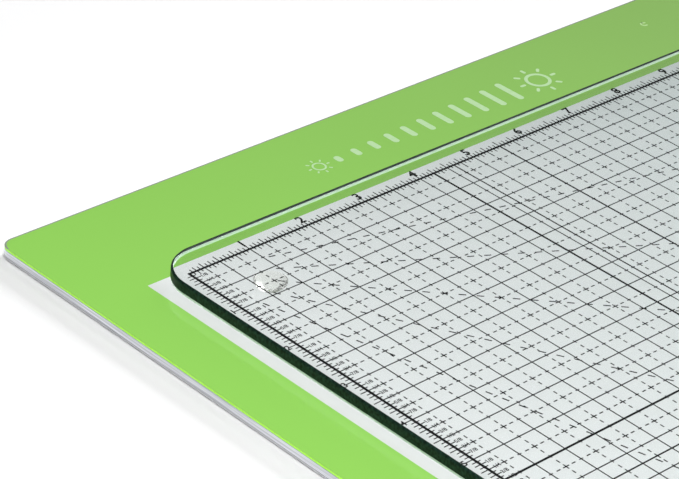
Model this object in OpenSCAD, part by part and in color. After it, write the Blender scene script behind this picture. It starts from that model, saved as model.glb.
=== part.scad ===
// Slim light board with a loose glass cutting mat on it.
//
// The board is a flat sandwich: a printed cover sheet, a clear frame round an
// edge-lit light guide and its films, and a back sheet, bonded by two tape rings.
// The mat is a plate of toughened glass on four clear bumpers, and lifts straight off.
//
// Origin: centre of the board's footprint, on the plane that its pads rest on.
// +X runs along the mat's top ruler, +Y towards the deep bezel that holds the
// switch, and +Z up. All sizes are in millimetres.

/* [Board] */
// Width of the board, along the mat's top ruler
board_w = 353; // [300:1:430]
// Depth of the board, from the front edge to the deep bezel's edge
board_d = 303; // [260:1:370]
// Radius of the board's corners
board_r = 5; // [3:0.5:14]
// Width of the bezel at the left, right and front of the lit window
bezel_w = 22; // [18:0.5:30]
// Width of the deep bezel behind the window, which covers the electronics
bezel_back_w = 49; // [46:0.5:60]
// Thickness of the printed cover sheet
cover_t = 0.9; // [0.6:0.1:1.5]
// Thickness of the clear frame round the light guide
frame_t = 2.2; // [2.2:0.1:3]
// Thickness of the back sheet
back_t = 0.6; // [0.6:0.1:1.5]
// Thickness of the tape rings above and below the frame
tape_t = 0.15; // [0.1:0.05:0.2]
// Width of the tape rings and of the frame's back bar
tape_w = 5; // [4:0.5:7]

/* [Light guide] */
// How far the light guide and its films run on under the bezels
guide_lap = 8; // [5:0.5:9]
// Clearance between the guide's edges and the frame's pocket
guide_gap = 0.3; // [0.2:0.05:0.5]
// Thickness of the white reflector film
reflector_t = 0.2; // [0.1:0.05:0.25]
// Thickness of the prism film
prism_t = 0.2; // [0.1:0.05:0.25]
// Thickness of the opal diffuser film
diffuser_t = 0.3; // [0.2:0.05:0.4]

/* [Light strip] */
// Width of the strip board that carries the lamps
strip_w = 5; // [4.5:0.1:6]
// Number of lamps on the strip
lamp_count = 48; // [24:1:52]
// Length of one lamp, along the strip
lamp_w = 3.8; // [3:0.1:4]
// Depth of one lamp, across the strip
lamp_d = 1.2; // [1:0.1:1.6]
// Height of one lamp
lamp_h = 0.8; // [0.6:0.05:1]
// Gap between the lamps and the edge of the light guide
lamp_gap = 0.1; // [0.05:0.05:0.3]

/* [Electronics] */
// Gap between the ends of the lamp strip and the ends of its bay
bay_end_gap = 0.5; // [0.2:0.1:2]
// Width of the control board
control_w = 70; // [60:1:80]
// Gap between the control board and what is in front of and behind it
control_gap = 1; // [0.5:0.1:2]
// Thickness of the control board and of the strip board
pcb_t = 0.8; // [0.6:0.1:1]
// Distance from the board's right edge to the touch switch
switch_inset_x = 60.5; // [50:0.5:75]
// Distance from the board's back edge to the touch switch
switch_inset_y = 16.5; // [15:0.5:19]
// Diameter of the touch switch's sensing disc
switch_dia = 9; // [6:0.5:10]
// Distance from the board's right edge to the power socket
socket_inset = 36; // [32:0.5:42]
// Width of the power socket's metal shell
socket_w = 7.5; // [7:0.1:8]
// Height of the power socket's metal shell
socket_h = 2.4; // [2.2:0.05:2.4]
// Depth of the power socket's metal shell
socket_d = 5.6; // [5:0.1:6]
// Distance from the board's back edge to the socket's mouth
socket_setback = 2; // [1:0.1:3]
// Wall of the power socket's metal shell
socket_wall = 0.3; // [0.2:0.05:0.35]
// Clearance round the power socket in the frame and the control board
socket_gap = 0.4; // [0.2:0.1:0.8]

/* [Pads] */
// Diameter of one non-slip pad
pad_dia = 12; // [8:0.5:16]
// Thickness of one non-slip pad
pad_t = 0.5; // [0.5:0.1:2]
// Distance from the board's edges to the middle of a pad
pad_inset = 14; // [9:0.5:20]

/* [Glass mat] */
// Width of the printed grid, 11 1/2 inches
grid_w = 292.1; // [254:12.7:292.1]
// Depth of the printed grid, 8 1/2 inches
grid_d = 215.9; // [190.5:12.7:215.9]
// Clear glass outside the grid at the left, right and front
mat_rim = 7.3; // [5:0.1:9]
// Clear glass behind the grid, where the numbers stand
mat_rim_back = 10.7; // [9:0.1:14]
// Thickness of the glass
glass_t = 4.7; // [3.8:0.1:6]
// Radius of the glass's corners
glass_r = 16; // [8:0.1:20]
// Width of the ground bevel round the glass's edges
arris = 0.8; // [0.3:0.1:1]
// Distance from the board's back edge to the glass
mat_inset_back = 48.3; // [44:0.1:52]

/* [Bumpers] */
// Diameter of one clear bumper
bumper_dia = 11.1; // [9:0.1:16]
// Height of one clear bumper, which is the gap under the glass
bumper_h = 3.5; // [2.5:0.1:5]
// Straight wall of a bumper, next to the glass
bumper_wall = 0.6; // [0.3:0.1:1]
// Diameter of the flat that a bumper's dome settles on
bumper_flat = 4.4; // [3:0.1:5]
// Distance from the glass's side edges to the middle of a bumper
bumper_inset_x = 25.7; // [20:0.1:40]
// Distance from the glass's front and back edges to the middle of a bumper
bumper_inset_y = 28.7; // [20:0.1:40]

/* [Hidden] */

$fn = 96;

// A little more than nothing, so that a cut runs clear of the face that it opens
over = 0.5;

// Levels of the sandwich, from the table up
back_z = pad_t;
floor_z = back_z + back_t;
frame_z = floor_z + tape_t;
cover_tape_z = frame_z + frame_t;
cover_z = cover_tape_z + tape_t;
board_top = cover_z + cover_t;
core_h = cover_z - floor_z;

// The light stack fills the space between the back sheet and the cover sheet
guide_t = core_h - reflector_t - prism_t - diffuser_t;
guide_z = floor_z + reflector_t;
prism_z = guide_z + guide_t;
diffuser_z = prism_z + prism_t;
pcb_z = floor_z;
pcb_top = pcb_z + pcb_t;

// Outline of the board and of its lit window
board_x = board_w / 2;
board_y = board_d / 2;
window_x = board_x - bezel_w;
window_front = -board_y + bezel_w;
window_back = board_y - bezel_back_w;

// Outline of the light guide
guide_x = window_x + guide_lap;
guide_front = window_front - guide_lap;
guide_back = window_back + guide_lap;

// Bay for the strip, the control board and the socket
bay_front = guide_back;
bay_back = board_y - tape_w;

// Strip of lamps along the back edge of the guide
strip_front = guide_back + lamp_gap;
strip_back = strip_front + strip_w;
strip_x = window_x;
lamp_pitch = 2 * strip_x / lamp_count;
bay_x = strip_x + bay_end_gap;

// Touch switch, power socket and control board
switch_x = board_x - switch_inset_x;
switch_y = board_y - switch_inset_y;
socket_x = board_x - socket_inset;
socket_back = board_y - socket_setback;
socket_front = socket_back - socket_d;
socket_z = floor_z + (core_h - socket_h) / 2;
control_front = strip_back + control_gap;
control_back = bay_back - control_gap;
control_end = 4;
control_right = socket_x + socket_w / 2 + control_end;
control_left = control_right - control_w;

// Chips and other parts on the control board
part_h = 1.1;
driver_size = [6, 5, part_h];
touch_size = [4, 4, part_h];
touch_gap = 2;
coil_dia = 6;
coil_h = 1.5;
capacitor_size = [3.2, 1.6, part_h];
capacitor_count = 4;
capacitor_pitch = 4.4;
part_inset = 6;

// Flat ribbon between the control board and the strip
ribbon_w = 4;
ribbon_t = 0.25;
ribbon_lap = 3;
ribbon_run = 24;

// Tongue and rear block inside the power socket
tongue_w = 3.7;
tongue_t = 0.6;
tongue_d = 3.6;
insert_d = 1.2;

// Glass mat, centred across the board
mat_w = grid_w + 2 * mat_rim;
mat_d = grid_d + mat_rim + mat_rim_back;
mat_x = mat_w / 2;
mat_back = board_y - mat_inset_back;
mat_front = mat_back - mat_d;
mat_mid = (mat_front + mat_back) / 2;
glass_z = board_top + bumper_h;

// Sphere that passes through the bumper's wall and the rim of its flat
bumper_r = bumper_dia / 2;
bumper_flat_r = bumper_flat / 2;
dome_centre = (bumper_flat_r ^ 2 + bumper_h ^ 2 - bumper_r ^ 2 - bumper_wall ^ 2)
    / (2 * (bumper_h - bumper_wall));
dome_r = sqrt(bumper_flat_r ^ 2 + (bumper_h - dome_centre) ^ 2);

clear_acrylic = [0.86, 0.90, 0.90, 0.6];
print_green = [0.45, 0.78, 0.25];
film_white = [0.96, 0.96, 0.94];
tape_grey = [0.75, 0.75, 0.75];
pcb_green = [0.05, 0.35, 0.18];
chip_black = [0.08, 0.08, 0.09];
metal = [0.75, 0.76, 0.78];

// Rectangle with round corners, centred on the origin.
module rounded_outline(w, d, r) {
    square([w - 2 * r, d], center = true);
    square([w, d - 2 * r], center = true);
    for (sx = [-1, 1], sy = [-1, 1])
        translate([sx * (w / 2 - r), sy * (d / 2 - r)]) circle(r = r);
}

// Rectangle between two opposite corners.
module span(left, front, right, back) {
    translate([left, front]) square([right - left, back - front]);
}

// Flat sheet at a level, made from the outline that follows it.
module sheet(z, t) {
    translate([0, 0, z]) linear_extrude(height = t) children();
}

// Outline of the whole board.
module board_outline() {
    rounded_outline(board_w, board_d, board_r);
}

// Outline of the light guide and its films.
module guide_outline() {
    span(-guide_x, guide_front, guide_x, guide_back);
}

// Ring along the board's edge, as wide as the tape, open where the socket passes.
module tape_outline() {
    inner_w = board_w - 2 * tape_w;
    inner_d = board_d - 2 * tape_w;
    difference() {
        board_outline();
        square([inner_w, inner_d], center = true);
        socket_cut();
    }
}

// Way through the frame and the tapes for the power socket.
module socket_cut() {
    half = socket_w / 2 + socket_gap;
    span(socket_x - half, bay_back - over, socket_x + half, board_y + over);
}

// Clear cover sheet, printed green on its underside outside the lit window.
module cover_sheet() {
    color(print_green) sheet(cover_z, cover_t) board_outline();
}

// Tape ring that bonds the cover sheet to the frame.
module cover_tape() {
    color(tape_grey) sheet(cover_tape_z, tape_t) tape_outline();
}

// Opal film that evens out the light.
module diffuser_film() {
    color(film_white) sheet(diffuser_z, diffuser_t) guide_outline();
}

// Film with fine prisms that turns the light upwards.
module prism_film() {
    color(clear_acrylic) sheet(prism_z, prism_t) guide_outline();
}

// Clear plate that carries the light in from its back edge.
module light_guide() {
    color(clear_acrylic) sheet(guide_z, guide_t) guide_outline();
}

// White film that sends light back up through the guide.
module reflector_film() {
    color(film_white) sheet(floor_z, reflector_t) guide_outline();
}

// Clear frame with a pocket for the light stack and a bay for the electronics.
module side_frame() {
    color(clear_acrylic) sheet(frame_z, frame_t) difference() {
        board_outline();
        span(-guide_x - guide_gap, guide_front - guide_gap, guide_x + guide_gap, bay_front);
        span(-bay_x, bay_front - over, bay_x, bay_back);
        socket_cut();
    }
}

// Tape ring that bonds the back sheet to the frame.
module back_tape() {
    color(tape_grey) sheet(frame_z - tape_t, tape_t) tape_outline();
}

// White sheet that closes the board's underside.
module back_sheet() {
    color(film_white) sheet(back_z, back_t) board_outline();
}

// Six thin pads under the back sheet: four corners and two sides.
module non_slip_pads() {
    x = board_x - pad_inset;
    y = board_y - pad_inset;
    color(chip_black) for (sx = [-1, 1], sy = [-1, 0, 1])
        translate([sx * x, sy * y, 0]) cylinder(h = pad_t, d = pad_dia);
}

// Narrow board under the row of lamps.
module lamp_strip() {
    color(film_white) sheet(pcb_z, pcb_t) span(-strip_x, strip_front, strip_x, strip_back);
}

// Lamps that shine forwards into the light guide's back edge.
module lamps() {
    color("lightyellow") for (i = [0 : lamp_count - 1])
        translate([-strip_x + (i + 0.5) * lamp_pitch - lamp_w / 2, strip_front, pcb_top])
            cube([lamp_w, lamp_d, lamp_h]);
}

// Board that dims the lamps, with a notch for the socket.
module control_board() {
    notch = socket_w / 2 + socket_gap;
    color(pcb_green) sheet(pcb_z, pcb_t) difference() {
        span(control_left, control_front, control_right, control_back);
        span(socket_x - notch, socket_front - socket_gap, socket_x + notch, control_back + over);
    }
}

// Chip that feeds the lamps.
module driver_chip() {
    color(chip_black) translate([control_left + part_inset, control_front + part_inset, pcb_top])
        cube(driver_size);
}

// Chip that reads the touch switch.
module touch_chip() {
    x = switch_x + switch_dia / 2 + touch_gap;
    color(chip_black) translate([x, control_front + part_inset, pcb_top]) cube(touch_size);
}

// Flat coil of the lamp driver.
module power_coil() {
    x = control_left + part_inset + driver_size.x + coil_dia;
    color("dimgray") translate([x, control_front + part_inset + coil_dia / 2, pcb_top])
        cylinder(h = coil_h, d = coil_dia);
}

// Row of capacitors behind the driver chip.
module capacitors() {
    y = control_back - part_inset;
    color("tan") for (i = [0 : capacitor_count - 1])
        translate([control_left + part_inset + i * capacitor_pitch, y, pcb_top])
            cube(capacitor_size);
}

// Springy conductive disc between the control board and the cover's underside.
module touch_sensor() {
    color("darkgoldenrod") translate([switch_x, switch_y, pcb_top])
        cylinder(h = cover_z - pcb_top, d = switch_dia);
}

// Flat ribbon from the control board's left end to the strip.
module lamp_ribbon() {
    arm_y = control_front + part_inset / 2;
    corner_x = control_left - ribbon_run;
    color("orange") sheet(pcb_top, ribbon_t) {
        span(corner_x, arm_y, control_left + ribbon_lap, arm_y + ribbon_w);
        span(corner_x, strip_back - ribbon_lap, corner_x + ribbon_w, arm_y + ribbon_w);
    }
}

// Metal shell of the power socket, open towards the board's back edge.
module power_socket() {
    inner_w = socket_w - 2 * socket_wall;
    inner_h = socket_h - 2 * socket_wall;
    color(metal) difference() {
        translate([socket_x - socket_w / 2, socket_front, socket_z])
            cube([socket_w, socket_d, socket_h]);
        translate([socket_x - inner_w / 2, socket_front - over, socket_z + socket_wall])
            cube([inner_w, socket_d + 2 * over, inner_h]);
    }
}

// Plastic insert that closes the shell's rear and carries the contacts' tongue.
module socket_insert() {
    inner_w = socket_w - 2 * socket_wall;
    inner_h = socket_h - 2 * socket_wall;
    color(chip_black) union() {
        translate([socket_x - inner_w / 2, socket_front, socket_z + socket_wall])
            cube([inner_w, insert_d, inner_h]);
        translate([socket_x - tongue_w / 2, socket_front + insert_d, socket_z + (socket_h - tongue_t) / 2])
            cube([tongue_w, tongue_d, tongue_t]);
    }
}

// One layer of the bevel, narrowing upwards from the full outline of the glass.
module arris_layer(w, d, r, c) {
    for (sx = [-1, 1], sy = [-1, 1])
        translate([sx * (w / 2 - r), sy * (d / 2 - r), 0]) cylinder(h = c, r1 = r, r2 = r - c);
    rotate([90, 0, 0]) linear_extrude(height = d - 2 * r, center = true)
        polygon([[-w / 2, 0], [w / 2, 0], [w / 2 - c, c], [-w / 2 + c, c]]);
    rotate([90, 0, 90]) linear_extrude(height = w - 2 * r, center = true)
        polygon([[-d / 2, 0], [d / 2, 0], [d / 2 - c, c], [-d / 2 + c, c]]);
}

// Toughened glass plate with round corners and ground edges.
module glass_mat() {
    color([0.75, 0.88, 0.84, 0.5]) translate([0, mat_mid, glass_z]) union() {
        translate([0, 0, arris]) linear_extrude(height = glass_t - 2 * arris)
            rounded_outline(mat_w, mat_d, glass_r);
        translate([0, 0, glass_t - arris]) arris_layer(mat_w, mat_d, glass_r, arris);
        translate([0, 0, arris]) mirror([0, 0, 1]) arris_layer(mat_w, mat_d, glass_r, arris);
    }
}

// One clear bumper, hanging from the glass with its flattened dome down.
module bumper() {
    mirror([0, 0, 1]) intersection() {
        cylinder(h = bumper_h, r = bumper_r);
        translate([0, 0, dome_centre]) sphere(r = dome_r);
    }
}

// Four self-adhesive bumpers under the glass.
module mat_bumpers() {
    x = mat_x - bumper_inset_x;
    y = mat_d / 2 - bumper_inset_y;
    color([0.9, 0.93, 0.9, 0.6]) for (sx = [-1, 1], sy = [-1, 1])
        translate([sx * x, mat_mid + sy * y, glass_z]) bumper();
}

cover_sheet();
cover_tape();
diffuser_film();
prism_film();
light_guide();
reflector_film();
side_frame();
back_tape();
back_sheet();
non_slip_pads();
lamp_strip();
lamps();
control_board();
driver_chip();
touch_chip();
power_coil();
capacitors();
touch_sensor();
lamp_ribbon();
power_socket();
socket_insert();
glass_mat();
mat_bumpers();
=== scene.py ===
# Slim light board with a loose glass cutting mat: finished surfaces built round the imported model.
# Lengths are metres, +X along the mat's top ruler, +Y towards the deep bezel, +Z up.
import math

import bmesh
import bpy
from mathutils import Matrix, Quaternion, Vector


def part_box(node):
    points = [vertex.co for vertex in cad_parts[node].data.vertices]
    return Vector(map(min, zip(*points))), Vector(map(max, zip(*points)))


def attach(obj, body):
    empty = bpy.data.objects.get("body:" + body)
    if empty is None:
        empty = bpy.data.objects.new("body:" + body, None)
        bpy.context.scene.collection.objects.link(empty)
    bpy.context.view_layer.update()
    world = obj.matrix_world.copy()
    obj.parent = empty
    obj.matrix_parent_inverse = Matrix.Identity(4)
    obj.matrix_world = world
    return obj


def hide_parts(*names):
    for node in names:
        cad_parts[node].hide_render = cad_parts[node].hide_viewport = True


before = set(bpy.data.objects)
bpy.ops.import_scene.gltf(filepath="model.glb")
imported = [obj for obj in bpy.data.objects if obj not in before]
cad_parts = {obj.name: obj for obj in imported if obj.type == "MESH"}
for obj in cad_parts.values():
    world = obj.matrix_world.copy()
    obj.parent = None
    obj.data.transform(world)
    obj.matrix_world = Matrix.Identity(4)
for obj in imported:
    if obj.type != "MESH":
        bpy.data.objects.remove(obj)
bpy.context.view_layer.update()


# ---- Viewpoint ---------------------------------------------------------------------------------
# A long lens that looks down across the back left corner of the board, so that the edges of
# the bezel and the glass stay almost parallel. The aim is at table level, in front of the
# deep bezel.

MM = 0.001
AIM_FROM_CORNER = Vector((96.5, -58.5, -5)) * MM
VIEW_AZIMUTH = math.radians(44.9)
VIEW_ELEVATION = math.radians(30.73)
VIEW_DISTANCE = 0.966
VIEW_ROLL = math.radians(4.28)
LENS = 154.7
SENSOR_WIDTH = 36

board_low, board_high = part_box("cover_sheet")
aim = Vector((board_low.x, board_high.y, board_high.z)) + AIM_FROM_CORNER
ahead = Vector((
    math.sin(VIEW_AZIMUTH) * math.cos(VIEW_ELEVATION),
    math.cos(VIEW_AZIMUTH) * math.cos(VIEW_ELEVATION),
    -math.sin(VIEW_ELEVATION),
))
bpy.ops.object.camera_add(location=aim - ahead * VIEW_DISTANCE)
camera = bpy.context.object
camera.name = "viewpoint"
camera.rotation_mode = "QUATERNION"
camera.rotation_quaternion = ahead.to_track_quat("-Z", "Y") @ Quaternion((0, 0, 1), VIEW_ROLL)
camera.data.lens = LENS
camera.data.sensor_width = SENSOR_WIDTH
bpy.context.scene.camera = camera


# ---- Table and lights --------------------------------------------------------------------------
# A white table top in a dim room. Lamps at the near left, overhead and high on the right give
# most of the light, and one low on the right gives the soft shadow along the board's left side.


class Value:
    """One output of a material's nodes, on which ordinary arithmetic can be written."""

    def __init__(self, finish, socket):
        self.finish = finish
        self.socket = socket

    def math(self, operation, first, second):
        return self.finish.node("ShaderNodeMath", {"operation": operation}, {0: first, 1: second})

    def __add__(self, other):
        return self.math("ADD", self, other)

    def __radd__(self, other):
        return self.math("ADD", other, self)

    def __sub__(self, other):
        return self.math("SUBTRACT", self, other)

    def __rsub__(self, other):
        return self.math("SUBTRACT", other, self)

    def __mul__(self, other):
        return self.math("MULTIPLY", self, other)

    def __rmul__(self, other):
        return self.math("MULTIPLY", other, self)

    def __gt__(self, other):
        return self.math("GREATER_THAN", self, other)


class Finish:
    """A material in the making: its shader, and one way to add any other node."""

    def __init__(self, name, constants):
        self.material = bpy.data.materials.new(name)
        self.material.use_nodes = True
        self.tree = self.material.node_tree
        self.shader = self.tree.nodes["Principled BSDF"]
        self.output = self.tree.nodes["Material Output"]
        self.object_place = None
        self.set(constants)

    def feed(self, socket, value):
        if isinstance(value, Value):
            self.tree.links.new(value.socket, socket)
        elif isinstance(value, tuple) and len(value) == 3 and socket.type == "RGBA":
            socket.default_value = (*value, 1)
        else:
            socket.default_value = value

    def set(self, sockets):
        for name, value in sockets.items():
            self.feed(self.shader.inputs[name], value)

    def node(self, kind, settings, sockets, output=0):
        made = self.tree.nodes.new(kind)
        for name, value in settings.items():
            setattr(made, name, value)
        for name, value in sockets.items():
            self.feed(made.inputs[name], value)
        return Value(self, made.outputs[output])

    def place(self):
        if self.object_place is None:
            self.object_place = self.node("ShaderNodeTexCoord", {}, {}, "Object")
        return self.object_place

    def coordinate(self, axis):
        """One coordinate of the point, measured with the piece at rest."""
        return self.node("ShaderNodeSeparateXYZ", {}, {"Vector": self.place()}, axis)

    def vector(self, operation, first, second=(0, 0, 0), output="Vector"):
        """One step of arithmetic on a direction or a place."""
        return self.node("ShaderNodeVectorMath", {"operation": operation}, {0: first, 1: second}, output)

    def noise(self, scale, detail=3.0, stretch=(1, 1, 1)):
        """Cloudy pattern of 0 to 1 with so many lumps a metre, stretched along the axes."""
        place = self.node("ShaderNodeMapping", {}, {"Vector": self.place(), "Scale": stretch})
        return self.node("ShaderNodeTexNoise", {}, {"Vector": place, "Scale": scale, "Detail": detail})

    def mix(self, factor, first, second):
        return self.node("ShaderNodeMix", {"data_type": "RGBA"}, {0: factor, 6: first, 7: second}, 2)

    def bump(self, height, strength, distance):
        return self.node("ShaderNodeBump", {},
                         {"Height": height, "Strength": strength, "Distance": distance})


def dress(piece, *finishes):
    """Gives a piece its materials, in the order of its slots."""
    piece.data.materials.clear()
    for finish in finishes:
        piece.data.materials.append(finish.material)


TABLE_SIDE = 6.0
TABLE_GAP = 0.05 * MM
ROOM_LIGHT = 0.10

bpy.ops.mesh.primitive_plane_add(size=TABLE_SIDE, location=(0, 0, -TABLE_GAP))
table = bpy.context.object
table.name = "table_top"
table_white = Finish("table_white", {"Roughness": 0.6, "Specular IOR Level": 0.2})
mottle = table_white.noise(3)
table_white.set({"Base Color": table_white.mix(mottle, (0.93, 0.93, 0.935), (0.95, 0.95, 0.955))})
dress(table, table_white)

world = bpy.data.worlds.new("room")
bpy.context.scene.world = world
world.use_nodes = True
world.node_tree.nodes["Background"].inputs["Color"].default_value = (1, 1, 1, 1)
world.node_tree.nodes["Background"].inputs["Strength"].default_value = ROOM_LIGHT


def lamp(name, place, side, power):
    """Large square lamp that faces the middle of the board."""
    place = Vector(place)
    bpy.ops.object.light_add(type="AREA", location=place)
    light = bpy.context.object
    light.name = name
    light.rotation_euler = (-place).to_track_quat("-Z", "Y").to_euler()
    light.data.size = side
    light.data.energy = power


lamp("near_left_lamp", place=(-0.5, -0.4, 0.8), side=0.7, power=8.8)
lamp("overhead_lamp", place=(-0.2, -0.1, 2.2), side=2.4, power=4.2)
lamp("high_right_lamp", place=(2.6, 0.6, 3.2), side=0.7, power=24)
lamp("low_right_lamp", place=(5.6, 1.5, 1.56), side=2.8, power=560)
bpy.context.scene.view_settings.view_transform = "Standard"


# ---- Cover sheet -------------------------------------------------------------------------------
# One clear acrylic sheet, screen printed lime green from behind round the white lit window.
# Its polished edge gathers the light and shows as a bright lime line over the clear frame.

FLAT = 1e-6
CORNER_STEPS = 20
BEZEL = 22 * MM
BEZEL_BACK = 49 * MM
BOARD_CORNER = 5 * MM
COVER_RIM = 0.18 * MM
BACK_MARGIN = 0.7 * MM
DIM_BORDER = 12 * MM
# The upward part of a face's normal: more than this on top, and less than this at the edge.
FACES_UP = 0.9
FACES_OUT = 0.35


def only(piece):
    """Leaves one piece selected and active."""
    bpy.ops.object.select_all(action="DESELECT")
    piece.select_set(True)
    bpy.context.view_layer.objects.active = piece


def added(name, size=(1, 1, 1)):
    """Names the primitive that was just added, and puts its size and place into its mesh."""
    piece = bpy.context.object
    piece.name = name
    piece.data.name = name
    piece.scale = size
    bpy.ops.object.transform_apply(location=True, rotation=True, scale=True)
    return piece


def select_edges(piece, wanted):
    """In edit mode, selects the edges whose two ends pass a test."""
    mesh = bmesh.from_edit_mesh(piece.data)
    for edge in mesh.edges:
        edge.select = wanted(edge.verts[0].co, edge.verts[1].co)
    mesh.select_flush_mode()
    bmesh.update_edit_mesh(piece.data)


def smooth(piece, angle):
    """Smooth shading that keeps the flat faces flat."""
    only(piece)
    bpy.ops.object.shade_smooth_by_angle(angle=math.radians(angle))
    weighted = piece.modifiers.new("flat_faces", "WEIGHTED_NORMAL")
    weighted.mode = "FACE_AREA"
    weighted.weight = 100
    weighted.keep_sharp = True
    bpy.ops.object.modifier_apply(modifier=weighted.name)


def rounded_plate(name, low, high, corner, rim, rim_steps):
    """Plate with round corners, and with its upper and lower rims softened."""
    bpy.ops.object.select_all(action="DESELECT")
    bpy.ops.mesh.primitive_cube_add(size=1, location=(low + high) / 2)
    piece = added(name, high - low)
    bpy.ops.object.mode_set(mode="EDIT")
    bpy.ops.mesh.select_mode(type="EDGE")
    select_edges(piece, lambda a, b: abs(a.z - b.z) > FLAT)
    bpy.ops.mesh.bevel(offset=corner, segments=CORNER_STEPS, affect="EDGES")
    select_edges(piece, lambda a, b: abs(a.z - b.z) < FLAT)
    bpy.ops.mesh.bevel(offset=rim, segments=rim_steps, affect="EDGES")
    bpy.ops.mesh.select_all(action="SELECT")
    bpy.ops.mesh.normals_make_consistent(inside=False)
    bpy.ops.object.mode_set(mode="OBJECT")
    return piece


cover = rounded_plate("printed_cover", board_low, board_high, BOARD_CORNER, COVER_RIM, rim_steps=3)
window_low = Vector((board_low.x + BEZEL, board_low.y + BEZEL, board_high.z))
window_high = Vector((board_high.x - BEZEL, board_high.y - BEZEL_BACK, board_high.z))

# The window's four lines are cut across the sheet, so that its faces can be told apart.
only(cover)
bpy.ops.object.mode_set(mode="EDIT")
for corner, across in (
    (window_low, Vector((1, 0, 0))),
    (window_low, Vector((0, 1, 0))),
    (window_high, Vector((1, 0, 0))),
    (window_high, Vector((0, 1, 0))),
):
    bpy.ops.mesh.select_all(action="SELECT")
    bpy.ops.mesh.bisect(plane_co=corner, plane_no=across)
bpy.ops.object.mode_set(mode="OBJECT")

PRINT, WINDOW, EDGE = 0, 1, 2


def cover_slot(face):
    """Which material a face of the cover takes: the print, the lit window or the edge."""
    middle = face.center
    inside = window_low.x < middle.x < window_high.x and window_low.y < middle.y < window_high.y
    if face.normal.z > FACES_UP and inside:
        return WINDOW
    return EDGE if face.normal.z < FACES_OUT and not inside else PRINT


smooth(cover, angle=50)

green_print = Finish("green_print", {
    "Roughness": 0.2, "Specular IOR Level": 0.3, "Coat Weight": 0.35, "Coat Roughness": 0.05,
})
clouds = green_print.noise(9, 2)
flecks = green_print.noise(2600, 2)
density = clouds * 0.5 + flecks * 0.2
# Towards the right the green is painted duller and darker: painted shade for light that falls off across
# the board.
from_left = green_print.coordinate("X") - board_low.x
print_with_painted_shade = green_print.mix(
    from_left * (1 / (board_high.x - board_low.x)),
    green_print.mix(density, (0.256, 0.578, 0.090), (0.286, 0.626, 0.112)),
    green_print.mix(density, (0.243, 0.451, 0.112), (0.272, 0.488, 0.140)),
)

# The print stops just short of the back edge, where a narrow margin stays clear and looks grey.
half_board = (board_high - board_low) / 2
corner_middle = (half_board.x - BOARD_CORNER, half_board.y - BOARD_CORNER, 0)
from_middle = green_print.vector("ABSOLUTE", green_print.place())
past_corner = green_print.vector("SUBTRACT", from_middle, corner_middle)
outwards = green_print.vector("MAXIMUM", past_corner)
flat_outwards = green_print.vector("MULTIPLY", outwards, (1, 1, 0))
reach = green_print.vector("LENGTH", flat_outwards, output="Value")
margin = (reach > BOARD_CORNER - BACK_MARGIN) * (green_print.coordinate("Y") > corner_middle[1])
green_print.set({
    "Base Color": green_print.mix(margin, print_with_painted_shade, (0.26, 0.30, 0.24)),
    "Roughness": flecks * 0.06 + 0.16,
    "Normal": green_print.bump(flecks, 0.04, 0.02 * MM),
})

lit_window = Finish("lit_window", {
    "Roughness": 0.35, "Specular IOR Level": 0.3, "Coat Weight": 0.3, "Coat Roughness": 0.06,
    "Emission Strength": 0.495,
})
# The glow is dim at the window's left border and then fades slowly towards the right.
from_border = lit_window.coordinate("X") - window_low.x
fade = from_border * (1 / (window_high.x - window_low.x))
glow = lit_window.mix(fade + lit_window.noise(5, 1) * 0.12, (0.98, 1.005, 1.02), (0.22, 0.31, 0.31))
frost = lit_window.noise(1900, 2)
lit_window.set({
    "Base Color": lit_window.mix(frost, (0.385, 0.395, 0.39), (0.415, 0.425, 0.42)),
    # The dim border is partly the panel's dimmer edge and partly painted shade along the glass's left edge.
    "Emission Color": lit_window.mix(from_border * (1 / DIM_BORDER), (0.52, 0.57, 0.53), glow),
    "Normal": lit_window.bump(frost, 0.05, 0.02 * MM),
})

lime_edge = Finish("lime_edge", {"Roughness": 0.12, "Coat Weight": 0.4, "Emission Strength": 0.25})
streaks = lime_edge.noise(260, 3, (1, 1, 14))
lime_edge.set({
    "Base Color": lime_edge.mix(streaks, (0.32, 0.78, 0.035), (0.44, 0.90, 0.08)),
    "Emission Color": lime_edge.mix(streaks, (0.30, 0.80, 0.02), (0.42, 0.95, 0.06)),
    "Normal": lime_edge.bump(streaks, 0.1, 0.05 * MM),
})

dress(cover, green_print, lit_window, lime_edge)
for face in cover.data.polygons:
    face.material_index = cover_slot(face)
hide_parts("cover_sheet")
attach(cover, "board")


# ---- Printed marks on the cover ----------------------------------------------------------------
# White ink in the middle of the deep bezel: a brightness scale between a small and a large
# sun. A ring with a stroke marks the touch switch. Each mark is a film of ink, pressed flat.

INK_T = 0.02 * MM
SCALE_LEFT_OF_MIDDLE = 7.5 * MM
SCALE_WIDTH = 84 * MM
SCALE_BARS = 11
BAR_WIDTH = 2.6 * MM
BAR_LOW, BAR_HIGH = 4 * MM, 14 * MM
SMALL_SUN_R, LARGE_SUN_R = 2.3 * MM, 4.4 * MM
SMALL_SUN_GAP, LARGE_SUN_GAP = 9 * MM, 15 * MM
RAYS = 8
# Shares of a sun's radius: how thick its ring is, and how wide, how long and how far out its rays.
RING_WIDTH = 0.3
RAY_WIDTH, RAY_LENGTH, RAY_OUT = 0.28, 0.6, 1.75
ROUND_END, ROUND_END_STEPS = 0.49, 5
RING_STEPS = 40
MERGE = 0.0005 * MM
SWITCH_INSET = Vector((60.5, 16.5, 0)) * MM
SWITCH_R = 1.15 * MM
SWITCH_RING_WIDTH, SWITCH_STROKE_WIDTH = 0.8 * MM, 0.64 * MM
SWITCH_SWEEP = math.radians(290)
STROKE_LENGTH, STROKE_OUT = 1.1 * SWITCH_R, 0.85 * SWITCH_R


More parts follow.
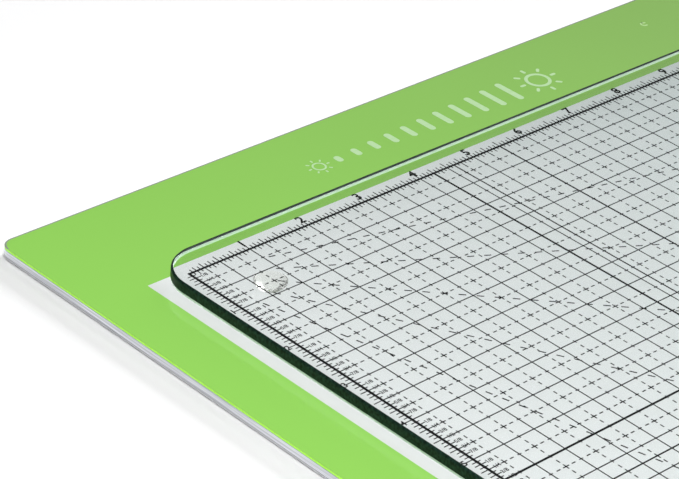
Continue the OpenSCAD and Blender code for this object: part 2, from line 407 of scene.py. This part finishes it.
def ink_bar(middle, length, width, turn=0.0, round_ends=False):
    """One printed stroke: a thin bar along X, then turned about its middle."""
    bpy.ops.object.select_all(action="DESELECT")
    bpy.ops.mesh.primitive_cube_add(size=1, location=middle, rotation=(0, 0, turn))
    piece = added("stroke", (length, width, INK_T))
    if round_ends:
        bpy.ops.object.mode_set(mode="EDIT")
        bpy.ops.mesh.select_mode(type="EDGE")
        select_edges(piece, lambda a, b: abs(a.z - b.z) > FLAT)
        radius = min(length, width) * ROUND_END
        bpy.ops.mesh.bevel(offset=radius, segments=ROUND_END_STEPS, affect="EDGES")
        bpy.ops.object.mode_set(mode="OBJECT")
    return piece


def ink_ring(middle, radius, width, sweep=math.tau):
    """Printed ring: a thin section spun about its middle, with a gap if the sweep is short."""
    turn = (math.pi - sweep) / 2
    start = middle + Vector((math.cos(turn), math.sin(turn), 0)) * radius
    bpy.ops.object.select_all(action="DESELECT")
    bpy.ops.mesh.primitive_plane_add(size=1, location=start, rotation=(math.pi / 2, 0, turn))
    piece = added("ring", (width, INK_T, 1))
    bpy.ops.object.mode_set(mode="EDIT")
    bpy.ops.mesh.select_all(action="SELECT")
    bpy.ops.mesh.spin(steps=RING_STEPS, angle=sweep, center=middle, axis=(0, 0, 1))
    bpy.ops.mesh.select_all(action="SELECT")
    bpy.ops.mesh.remove_doubles(threshold=MERGE)
    bpy.ops.mesh.normals_make_consistent(inside=False)
    bpy.ops.object.mode_set(mode="OBJECT")
    return piece


def joined(name, strokes):
    """Joins strokes that one pass of ink prints together."""
    only(strokes[0])
    for stroke in strokes:
        stroke.select_set(True)
    bpy.ops.object.join()
    piece = bpy.context.object
    piece.name = name
    piece.data.name = name
    return piece


def sun(middle, radius):
    """Ring with short rays round it, in proportion to its radius."""
    strokes = [ink_ring(middle, radius, radius * RING_WIDTH)]
    for ray in range(RAYS):
        turn = math.tau * ray / RAYS
        place = middle + Vector((math.cos(turn), math.sin(turn), 0)) * radius * RAY_OUT
        strokes.append(ink_bar(place, radius * RAY_LENGTH, radius * RAY_WIDTH, turn, round_ends=True))
    return strokes


mark_level = board_high.z + INK_T / 2
scale_middle = Vector((
    (board_low.x + board_high.x) / 2 - SCALE_LEFT_OF_MIDDLE,
    board_high.y - BEZEL_BACK / 2,
    mark_level,
))
strokes = sun(scale_middle - Vector((SCALE_WIDTH / 2 + SMALL_SUN_GAP, 0, 0)), SMALL_SUN_R)
strokes += sun(scale_middle + Vector((SCALE_WIDTH / 2 + LARGE_SUN_GAP, 0, 0)), LARGE_SUN_R)
for bar in range(SCALE_BARS):
    share = bar / (SCALE_BARS - 1)
    place = scale_middle + Vector(((share - 0.5) * SCALE_WIDTH, 0, 0))
    height = BAR_LOW + (BAR_HIGH - BAR_LOW) * share
    strokes.append(ink_bar(place, BAR_WIDTH, height, round_ends=True))
scale_mark = joined("brightness_scale", strokes)

switch_middle = Vector((board_high.x, board_high.y, mark_level)) - SWITCH_INSET
stroke_middle = switch_middle + Vector((0, STROKE_OUT, 0))
switch_mark = joined("switch_mark", [
    ink_ring(switch_middle, SWITCH_R, SWITCH_RING_WIDTH, SWITCH_SWEEP),
    ink_bar(stroke_middle, SWITCH_STROKE_WIDTH, STROKE_LENGTH, round_ends=True),
])


def mark_ink(name, colour, thin_colour):
    """White ink that the green shows through a little where it is thin."""
    finish = Finish(name, {"Roughness": 0.3, "Coat Weight": 0.3})
    cover_power = finish.noise(700, 4)
    finish.set({"Base Color": finish.mix(cover_power, thin_colour, colour)})
    return finish


dress(scale_mark, mark_ink("scale_ink", (0.54, 0.74, 0.46), (0.40, 0.66, 0.30)))
dress(switch_mark, mark_ink("switch_ink", (0.50, 0.76, 0.34), (0.40, 0.68, 0.22)))
for mark in (scale_mark, switch_mark):
    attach(mark, "board")


# ---- Frame, tapes and back sheet ---------------------------------------------------------------
# The clear frame's sawn and polished edge looks silvery, with fine lines along it. A grey tape
# bounds it above and a dark one below, and the grey back sheet has a fine moulded grain.

# The edge's faint glow is painted light: it brightens the side and the table beside it.
clear_edge = Finish("clear_edge", {
    "Specular IOR Level": 0.6, "Coat Weight": 0.5, "Coat Roughness": 0.08, "Emission Strength": 0.16,
    "Emission Color": (0.9, 0.93, 1.0),
})
layers = clear_edge.noise(30, 2, (1, 1, 60))
drift = clear_edge.noise(14, 2)
clear_edge.set({
    "Base Color": clear_edge.mix(layers * 2.2 + drift * 0.5 - 0.85, (0.24, 0.25, 0.29), (0.78, 0.79, 0.84)),
    "Roughness": layers * 0.15 + 0.14,
    "Normal": clear_edge.bump(layers, 0.15, 0.05 * MM),
})
dress(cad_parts["side_frame"], clear_edge)

for name, dark, light in (
    ("cover_tape", (0.30, 0.32, 0.33), (0.42, 0.44, 0.45)),
    ("back_tape", (0.07, 0.07, 0.08), (0.14, 0.14, 0.15)),
):
    tape = Finish(name, {"Roughness": 0.7})
    tape.set({"Base Color": tape.mix(tape.noise(1500, 2), dark, light)})
    dress(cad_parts[name], tape)

back_plastic = Finish("back_plastic", {"Specular IOR Level": 0.4})
grain = back_plastic.noise(1400, 4)
scuffs = back_plastic.noise(40, 5)
back_plastic.set({
    "Base Color": back_plastic.mix(scuffs, (0.54, 0.55, 0.57), (0.64, 0.65, 0.67)),
    "Roughness": scuffs * 0.15 + 0.4,
    "Normal": back_plastic.bump(grain, 0.35, 0.06 * MM),
})
dress(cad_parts["back_sheet"], back_plastic)


# ---- Non-slip pads -----------------------------------------------------------------------------
# Six punched discs of black rubber, stuck under the back sheet. The die leaves a soft lower
# rim and a shallow dish in the middle.

PAD_R = 6 * MM
PAD_RIM = 0.2 * MM
PAD_DISH = 2.2 * MM
DISH_DEPTH = 0.12 * MM
PAD_SIDES = 48
PAD_RIM_STEPS = 3


def copied(piece, name, shift):
    """A copy of a piece with its own mesh, moved by the shift."""
    twin = piece.copy()
    twin.data = piece.data.copy()
    twin.data.transform(Matrix.Translation(shift))
    twin.name = name
    bpy.context.scene.collection.objects.link(twin)
    return twin


pads_low, pads_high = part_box("non_slip_pads")
pad_t = pads_high.z - pads_low.z
first_pad = Vector((pads_low.x + PAD_R, pads_low.y + PAD_R, pads_low.z + pad_t / 2))


def on_lower_rim(point):
    """Whether a point of the first pad lies on its outer lower edge."""
    out = math.hypot(point.x - first_pad.x, point.y - first_pad.y)
    return point.z < pads_low.z + FLAT and out > PAD_R - FLAT


bpy.ops.object.select_all(action="DESELECT")
bpy.ops.mesh.primitive_cylinder_add(vertices=PAD_SIDES, radius=PAD_R, depth=pad_t, location=first_pad)
pad = added("pad")
bpy.ops.object.mode_set(mode="EDIT")
bpy.ops.mesh.select_mode(type="FACE")
bpy.ops.mesh.select_all(action="DESELECT")
mesh = bmesh.from_edit_mesh(pad.data)
for face in mesh.faces:
    face.select = face.normal.z < -FACES_UP
bmesh.update_edit_mesh(pad.data)
bpy.ops.mesh.inset(thickness=PAD_DISH)
bpy.ops.transform.translate(value=(0, 0, DISH_DEPTH))
bpy.ops.mesh.select_mode(type="EDGE")
select_edges(pad, lambda a, b: on_lower_rim(a) and on_lower_rim(b))
bpy.ops.mesh.bevel(offset=PAD_RIM, segments=PAD_RIM_STEPS, affect="EDGES")
bpy.ops.object.mode_set(mode="OBJECT")

pad_step = Vector((pads_high.x - pads_low.x - 2 * PAD_R, (pads_high.y - pads_low.y) / 2 - PAD_R, 0))
pads = [pad]
for across in (0, 1):
    for along in (0, 1, 2):
        if across or along:
            pads.append(copied(pad, "pad", Vector((pad_step.x * across, pad_step.y * along, 0))))
pads = joined("rubber_pads", pads)
smooth(pads, angle=40)

pad_rubber = Finish("pad_rubber", {"Roughness": 0.75, "Specular IOR Level": 0.3})
dust = pad_rubber.noise(600, 4)
pad_rubber.set({
    "Base Color": pad_rubber.mix(dust, (0.018, 0.018, 0.019), (0.055, 0.055, 0.056)),
    "Roughness": dust * 0.2 + 0.62,
    "Normal": pad_rubber.bump(dust, 0.3, 0.05 * MM),
})
dress(pads, pad_rubber)
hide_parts("non_slip_pads")
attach(pads, "board")


# ---- Light stack -------------------------------------------------------------------------------
# Cut from rolls and sheets and laid loose in the frame: white reflector, clear guide with its
# dot pattern, prism film and opal diffuser.


def film(name, dark, light, roughness, scale, stretch=(1, 1, 1)):
    """A sheet material with a faint pattern of its own."""
    finish = Finish(name, {"Roughness": roughness, "Specular IOR Level": 0.5})
    pattern = finish.noise(scale, 2, stretch)
    finish.set({
        "Base Color": finish.mix(pattern, dark, light),
        "Normal": finish.bump(pattern, 0.1, 0.03 * MM),
    })
    return finish


RIDGES = (1, 200, 1)
STACK_FINISHES = {
    "reflector_film": film("reflector", (0.86, 0.86, 0.85), (0.93, 0.93, 0.92), 0.6, 900),
    "light_guide": film("guide_acrylic", (0.70, 0.73, 0.74), (0.80, 0.82, 0.83), 0.1, 600),
    "prism_film": film("prisms", (0.72, 0.73, 0.75), (0.86, 0.87, 0.88), 0.25, 20, RIDGES),
    "diffuser_film": film("diffuser", (0.84, 0.84, 0.83), (0.90, 0.90, 0.89), 0.7, 1500),
}
for name, finish in STACK_FINISHES.items():
    dress(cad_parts[name], finish)


# ---- Lamps and electronics ---------------------------------------------------------------------
# A narrow white board of side-shining lamps, and a green control board with its chips, coil
# and capacitors, soldered flat. The switch's sensor is a foam core in woven metal.


def coated_board(name, dark, light):
    """Solder mask over copper tracks."""
    finish = Finish(name, {"Roughness": 0.3, "Coat Weight": 0.4, "Coat Roughness": 0.15})
    tracks = finish.noise(350, 1) > 0.55
    weave = finish.noise(3000, 1)
    finish.set({
        "Base Color": finish.mix(tracks * 0.7 + weave * 0.3, dark, light),
        "Normal": finish.bump(tracks, 0.4, 0.03 * MM),
    })
    return finish


def moulded(name, dark, light, roughness, metallic=0.0, scale=2200):
    """A small part's even skin, with a fine grain in its colour and surface."""
    finish = Finish(name, {"Metallic": metallic})
    skin = finish.noise(scale, 3)
    finish.set({
        "Base Color": finish.mix(skin, dark, light),
        "Roughness": skin * 0.15 + roughness,
        "Normal": finish.bump(skin, 0.15, 0.02 * MM),
    })
    return finish


chip_finish = moulded("chip_epoxy", (0.018, 0.018, 0.02), (0.04, 0.04, 0.045), 0.55)
INNER_FINISHES = {
    "lamp_strip": coated_board("white_mask", (0.74, 0.74, 0.72), (0.86, 0.86, 0.84)),
    "lamps": moulded("lamp_resin", (0.86, 0.72, 0.28), (0.92, 0.82, 0.42), 0.2),
    "control_board": coated_board("green_mask", (0.012, 0.12, 0.05), (0.03, 0.24, 0.10)),
    "driver_chip": chip_finish,
    "touch_chip": chip_finish,
    "socket_insert": chip_finish,
    "power_coil": moulded("ferrite", (0.05, 0.05, 0.055), (0.10, 0.10, 0.11), 0.6),
    "capacitors": moulded("capacitor_ceramic", (0.36, 0.25, 0.15), (0.46, 0.34, 0.22), 0.5),
    "touch_sensor": moulded("woven_metal", (0.60, 0.42, 0.22), (0.78, 0.60, 0.36), 0.35, 0.9),
    "lamp_ribbon": moulded("ribbon_film", (0.52, 0.22, 0.03), (0.66, 0.32, 0.06), 0.25),
    "power_socket": moulded("plated_steel", (0.55, 0.55, 0.57), (0.70, 0.70, 0.72), 0.25, 1.0, 900),
}
for name, finish in INNER_FINISHES.items():
    dress(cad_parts[name], finish)


# ---- Glass mat ---------------------------------------------------------------------------------
# Toughened float glass, cut with round corners and ground along every edge before toughening.
# The faces are clear with a faint green cast. The edge is dark green: the glass's own green, with
# painted shade. At its foot it is lighter and glows faintly, painted light from the window.

GLASS_CORNER = 16 * MM
ARRIS = 0.8 * MM
SHADED_BAND = 3.5 * MM
GLASS_IOR = 1.52
UNDERSIDE_SHADE = (0.86, 0.88, 0.875)
EDGE_SHADE = (0.94, 0.95, 0.94)
FACE, SHADED_EDGE, LOWER_EDGE = 0, 1, 2
# The upward or downward part of a normal from which a face counts as level.
LEVEL = 0.99

glass_low, glass_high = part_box("glass_mat")
shaded_from = glass_high.z - SHADED_BAND
glass_piece = rounded_plate("glass_plate", glass_low, glass_high, GLASS_CORNER, ARRIS, rim_steps=4)
only(glass_piece)
bpy.ops.object.mode_set(mode="EDIT")
bpy.ops.mesh.select_all(action="SELECT")
bpy.ops.mesh.bisect(plane_co=(0, 0, shaded_from), plane_no=(0, 0, 1))
bpy.ops.object.mode_set(mode="OBJECT")
smooth(glass_piece, angle=60)


def clear_glass(name, sockets, shade, clear_from=None):
    """Refracting glass whose shadow is light and tinted, with none from the given height up.

    Bounced rays pass straight through too, so that light under the glass isn't counted twice.
    """
    finish = Finish(name, sockets)
    shadow_ray = finish.node("ShaderNodeLightPath", {}, {}, "Is Shadow Ray")
    bounced_ray = finish.node("ShaderNodeLightPath", {}, {}, "Is Diffuse Ray")
    through = finish.node("ShaderNodeBsdfTransparent", {}, {"Color": shade})
    if clear_from is not None:
        unshaded = finish.node("ShaderNodeBsdfTransparent", {}, {"Color": (1, 1, 1)})
        through = finish.node("ShaderNodeMixShader", {},
                              {0: finish.coordinate("Z") > clear_from - FLAT, 1: through, 2: unshaded})
    solid = Value(finish, finish.shader.outputs["BSDF"])
    both = finish.node("ShaderNodeMixShader", {}, {0: shadow_ray + bounced_ray, 1: solid, 2: through})
    finish.feed(finish.output.inputs["Surface"], both)
    return finish


face_glass = clear_glass("face_glass", {
    "Base Color": (0.975, 0.99, 0.985), "Roughness": 0.0, "IOR": GLASS_IOR, "Transmission Weight": 1.0,
}, UNDERSIDE_SHADE, clear_from=glass_high.z)
# Painted shade: the edge's dark green stands for light lost on its long way through the glass.
shaded_edge_glass = clear_glass("shaded_edge_glass", {
    "Roughness": 0.4, "IOR": GLASS_IOR, "Transmission Weight": 0.03, "Specular IOR Level": 0.1,
}, EDGE_SHADE)
specks = shaded_edge_glass.noise(900, 3)
shaded_edge_glass.set({
    "Base Color": shaded_edge_glass.mix(specks * 2.4 - 0.8, (0.001, 0.006, 0.003), (0.014, 0.045, 0.030)),
})
# The foot's lighter mint and faint glow are painted light from the window.
lower_arris = clear_glass("lower_arris", {
    "Base Color": (0.62, 0.78, 0.70), "Roughness": 0.2, "IOR": GLASS_IOR, "Transmission Weight": 0.6,
    "Emission Color": (0.64, 0.88, 0.66), "Emission Strength": 0.24,
}, EDGE_SHADE)
for finish in (face_glass, shaded_edge_glass, lower_arris):
    ripple = finish.noise(160, 2)
    finish.set({"Normal": finish.bump(ripple, 0.02, 0.02 * MM)})
dress(glass_piece, face_glass, shaded_edge_glass, lower_arris)
for face in glass_piece.data.polygons:
    if abs(face.normal.z) > LEVEL:
        face.material_index = FACE
    else:
        face.material_index = SHADED_EDGE if face.center.z > shaded_from else LOWER_EDGE
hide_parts("glass_mat")
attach(glass_piece, "mat")


# ---- Grid printed under the glass --------------------------------------------------------------
# Black ink fired on the glass's underside: half-inch lines, quarter-inch dashes, heavy lines at
# card sizes, and angle lines from the zero corner. Ruler ticks run along all four sides, with
# numbers at the top and the left.

INCH = 0.0254
INK_GAP = 0.03 * MM
GRID_RIM = 7.3 * MM
GRID_RIM_BACK = 10.7 * MM
ZERO = Vector((glass_low.x + GRID_RIM, glass_high.y - GRID_RIM_BACK, glass_low.z - INK_GAP))
GRID_W = glass_high.x - GRID_RIM - ZERO.x
GRID_D = ZERO.y - (glass_low.y + GRID_RIM)
HALVES_ALONG = round(GRID_W / INCH * 2)
HALVES_DOWN = round(GRID_D / INCH * 2)
FINE = 0.46 * MM
HEAVY = 1.0 * MM
HALF, QUARTER, EIGHTH = INCH / 2, INCH / 4, INCH / 8
DASH = 0.062 * INCH
CROSS = 0.10 * INCH


def on_grid(u, v):
    """The place so far along the top ruler and down the left one."""
    return ZERO + Vector((u, -v, 0))


def repeated(stroke, across, across_step, down=1, down_step=0.0):
    """Repeats a stroke along the top ruler and down the left one."""
    only(stroke)
    for count, step in ((across, (across_step, 0, 0)), (down, (0, -down_step, 0))):
        if count > 1:
            row = stroke.modifiers.new("row", "ARRAY")
            row.count = count
            row.use_relative_offset = False
            row.use_constant_offset = True
            row.constant_offset_displace = step
            bpy.ops.object.modifier_apply(modifier=row.name)
    return stroke


def line_down(u, length, width=FINE, start=0.0):
    return ink_bar(on_grid(u, start + length / 2), width, length)


def line_across(v, length, width=FINE, start=0.0):
    return ink_bar(on_grid(start + length / 2, v), length, width)


half_inch_lines = joined("half_inch_lines", [
    repeated(line_down(HALF, GRID_D), HALVES_ALONG - 1, HALF),
    repeated(line_across(HALF, GRID_W), 1, 0, HALVES_DOWN - 1, HALF),
])

# Each card size: how wide, how deep, and how thick its line is.
CARD_SIZES = (
    (4.25 * INCH, 5.5 * INCH, 0.85 * MM),
    (4.625 * INCH, 6.25 * INCH, 0.6 * MM),
    (5.5 * INCH, GRID_D, 0.7 * MM),
)
frame_and_cards = [
    line_down(0, GRID_D + HEAVY, HEAVY, -HEAVY / 2),
    line_down(GRID_W, GRID_D + HEAVY, HEAVY, -HEAVY / 2),
    line_across(0, GRID_W, HEAVY),
    line_across(GRID_D, GRID_W, HEAVY),
]
for card_w, card_d, weight in CARD_SIZES:
    frame_and_cards.append(line_down(card_w, card_d, weight))
    if card_d < GRID_D:
        frame_and_cards.append(line_across(card_d, card_w, weight))
heavy_lines = joined("heavy_lines", frame_and_cards)

# Dashed lines run midway between the half-inch lines, with a dash at every eighth of an inch
# and a small cross where two of them meet.
quarter_dashes = joined("quarter_dashes", [
    repeated(ink_bar(on_grid(QUARTER, EIGHTH), FINE, DASH),
             HALVES_ALONG, HALF, round(GRID_D / EIGHTH) - 1, EIGHTH),
    repeated(ink_bar(on_grid(EIGHTH, QUARTER), DASH, FINE),
             round(GRID_W / EIGHTH) - 1, EIGHTH, HALVES_DOWN, HALF),
    repeated(ink_bar(on_grid(QUARTER, QUARTER), FINE, CROSS), HALVES_ALONG, HALF, HALVES_DOWN, HALF),
    repeated(ink_bar(on_grid(QUARTER, QUARTER), CROSS, FINE), HALVES_ALONG, HALF, HALVES_DOWN, HALF),
])

ANGLES = (15, 30, 45, 60, 75)
ANGLE_DASH = 0.095 * INCH
ANGLE_WIDTH = FINE * 1.2
ANGLE_STEP = 0.225 * INCH
ANGLE_START = 1.15 * INCH
angle_dashes = []
for degrees in ANGLES:
    turn = math.radians(degrees)
    reach = min(GRID_W / math.cos(turn), GRID_D / math.sin(turn))
    for dash in range(int((reach - ANGLE_START) / ANGLE_STEP)):
        far = ANGLE_START + dash * ANGLE_STEP
        place = on_grid(far * math.cos(turn), far * math.sin(turn))
        angle_dashes.append(ink_bar(place, ANGLE_DASH, ANGLE_WIDTH, -turn))
angle_lines = joined("angle_lines", angle_dashes)

# Ruler ticks by fraction of an inch: how far apart, how far outside and how far inside.
TICKS = (
    (INCH / 16, 0.075 * INCH, 0.055 * INCH),
    (INCH / 8, 0.095 * INCH, 0.085 * INCH),
    (INCH / 4, 0.120 * INCH, 0.150 * INCH),
    (INCH / 2, 0.140 * INCH, 0.100 * INCH),
)
TICK_WIDTH = FINE * 0.9
ticks = []
for step, outside, inside in TICKS:
    length = outside + inside
    middle = (inside - outside) / 2
    for edge, inwards in ((0, 1), (GRID_D, -1)):
        stroke = ink_bar(on_grid(step, edge + inwards * middle), TICK_WIDTH, length)
        ticks.append(repeated(stroke, round(GRID_W / step) - 1, step))
    for edge, inwards in ((0, 1), (GRID_W, -1)):
        stroke = ink_bar(on_grid(edge + inwards * middle, step), length, TICK_WIDTH)
        ticks.append(repeated(stroke, 1, 0, round(GRID_D / step) - 1, step))
ruler_ticks = joined("ruler_ticks", ticks)


def number(text, place, size, weight):
    """A printed number, centred on its place and as thick as the rest of the ink."""
    bpy.ops.object.select_all(action="DESELECT")
    bpy.ops.object.text_add()
    label = bpy.context.object
    label.data.body = text
    label.data.size = size
    label.data.align_x = "CENTER"
    label.data.align_y = "CENTER"
    label.data.extrude = INK_T / 2
    label.data.offset = size * weight
    label.data.resolution_u = NUMBER_CURVE_STEPS
    bpy.ops.object.convert(target="MESH")
    label.data.transform(Matrix.Translation(place))
    return label


NUMBER_CURVE_STEPS = 3
NUMBER_WEIGHT = 0.025
FRACTION_WEIGHT = 0.02
NUMBER_SIZE = 0.215 * INCH
NUMBER_OUT = 0.148 * INCH
SIDE_SIZE = 0.135 * INCH
SIDE_OUT = 0.140 * INCH
FRACTION_SIZE = 0.085 * INCH
FRACTION_IN = 0.135 * INCH
FRACTIONS = ("1/8", "1/4", "3/8", "1/2", "5/8", "3/4", "7/8")
numbers = []
for inch in range(1, int(GRID_W / INCH) + 1):
    numbers.append(number(str(inch), on_grid(inch * INCH, -NUMBER_OUT), NUMBER_SIZE, NUMBER_WEIGHT))
for inch in range(1, int(GRID_D / INCH) + 1):
    numbers.append(number(str(inch), on_grid(-SIDE_OUT, inch * INCH), SIDE_SIZE, NUMBER_WEIGHT))
ruler_numbers = joined("ruler_numbers", numbers)

fractions = []
for inch in range(int(GRID_D / INCH)):
    for eighth, text in enumerate(FRACTIONS, 1):
        place = on_grid(FRACTION_IN, (inch + eighth / 8) * INCH)
        fractions.append(number(text, place, FRACTION_SIZE, FRACTION_WEIGHT))
fraction_numbers = joined("fraction_numbers", fractions)

fired_ink = Finish("fired_ink", {"Specular IOR Level": 0.0})
ink_grain = fired_ink.noise(3500, 2)
fired_ink.set({
    "Base Color": fired_ink.mix(ink_grain, (0.002, 0.002, 0.002), (0.010, 0.010, 0.011)),
    "Roughness": ink_grain * 0.2 + 0.45,
})
for print_piece in (half_inch_lines, heavy_lines, quarter_dashes, angle_lines, ruler_ticks,
                    ruler_numbers, fraction_numbers):
    dress(print_piece, fired_ink)
    # The ink casts no shadow, so the lit window stays evenly bright under it.
    print_piece.visible_shadow = False
    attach(print_piece, "mat")


# ---- Bumpers -----------------------------------------------------------------------------------
# Clear polyurethane domes, cast on an adhesive film and stuck under the glass. Each has a short
# straight wall at the glass, and its crown is settled flat where it stands on the board.

BUMPER_R = 5.55 * MM
BUMPER_WALL = 0.6 * MM
CROWN_R = 2.2 * MM
DOME_STEPS = 9
DOME_SIDES = 64
FILM_GAP = 0.08 * MM

bumpers_low, bumpers_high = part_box("mat_bumpers")
bumper_h = bumpers_high.z - bumpers_low.z
dome_h = bumper_h - BUMPER_WALL
dome_middle = (CROWN_R ** 2 + bumper_h ** 2 - BUMPER_R ** 2 - BUMPER_WALL ** 2) / (2 * dome_h)
dome_r = math.hypot(CROWN_R, bumper_h - dome_middle)
first_bumper = Vector((bumpers_low.x + BUMPER_R, bumpers_low.y + BUMPER_R, bumpers_high.z - FILM_GAP))

bpy.ops.object.select_all(action="DESELECT")
bpy.ops.mesh.primitive_circle_add(vertices=DOME_SIDES, radius=BUMPER_R, fill_type="NGON",
                                  location=first_bumper)
bumper = added("bumper")
bpy.ops.object.mode_set(mode="EDIT")
bpy.ops.mesh.select_all(action="SELECT")
depth = FILM_GAP
radius = BUMPER_R
for step in range(DOME_STEPS + 1):
    next_depth = BUMPER_WALL + dome_h * step / DOME_STEPS
    next_radius = min(BUMPER_R, math.sqrt(dome_r ** 2 - (next_depth - dome_middle) ** 2))
    bpy.ops.mesh.extrude_region_move(TRANSFORM_OT_translate={"value": (0, 0, depth - next_depth)})
    bpy.ops.transform.resize(value=(next_radius / radius, next_radius / radius, 1),
                             center_override=(first_bumper.x, first_bumper.y, first_bumper.z))
    depth = next_depth
    radius = next_radius
bpy.ops.mesh.select_all(action="SELECT")
bpy.ops.mesh.normals_make_consistent(inside=False)
bpy.ops.object.mode_set(mode="OBJECT")
smooth(bumper, angle=45)

bumper_step = Vector((
    bumpers_high.x - bumpers_low.x - 2 * BUMPER_R,
    bumpers_high.y - bumpers_low.y - 2 * BUMPER_R,
    0,
))
bumpers = [bumper]
for across, along in ((1, 0), (0, 1), (1, 1)):
    shift = Vector((bumper_step.x * across, bumper_step.y * along, 0))
    bumpers.append(copied(bumper, "bumper", shift))
bumpers = joined("clear_bumpers", bumpers)

clear_rubber = clear_glass("clear_rubber", {
    "Base Color": (0.98, 0.975, 0.95), "Roughness": 0.2, "IOR": 1.22, "Transmission Weight": 0.93,
}, (0.93, 0.93, 0.92))
waves = clear_rubber.noise(400, 2)
clear_rubber.set({"Normal": clear_rubber.bump(waves, 0.05, 0.05 * MM)})
dress(bumpers, clear_rubber)
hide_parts("mat_bumpers")
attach(bumpers, "mat")
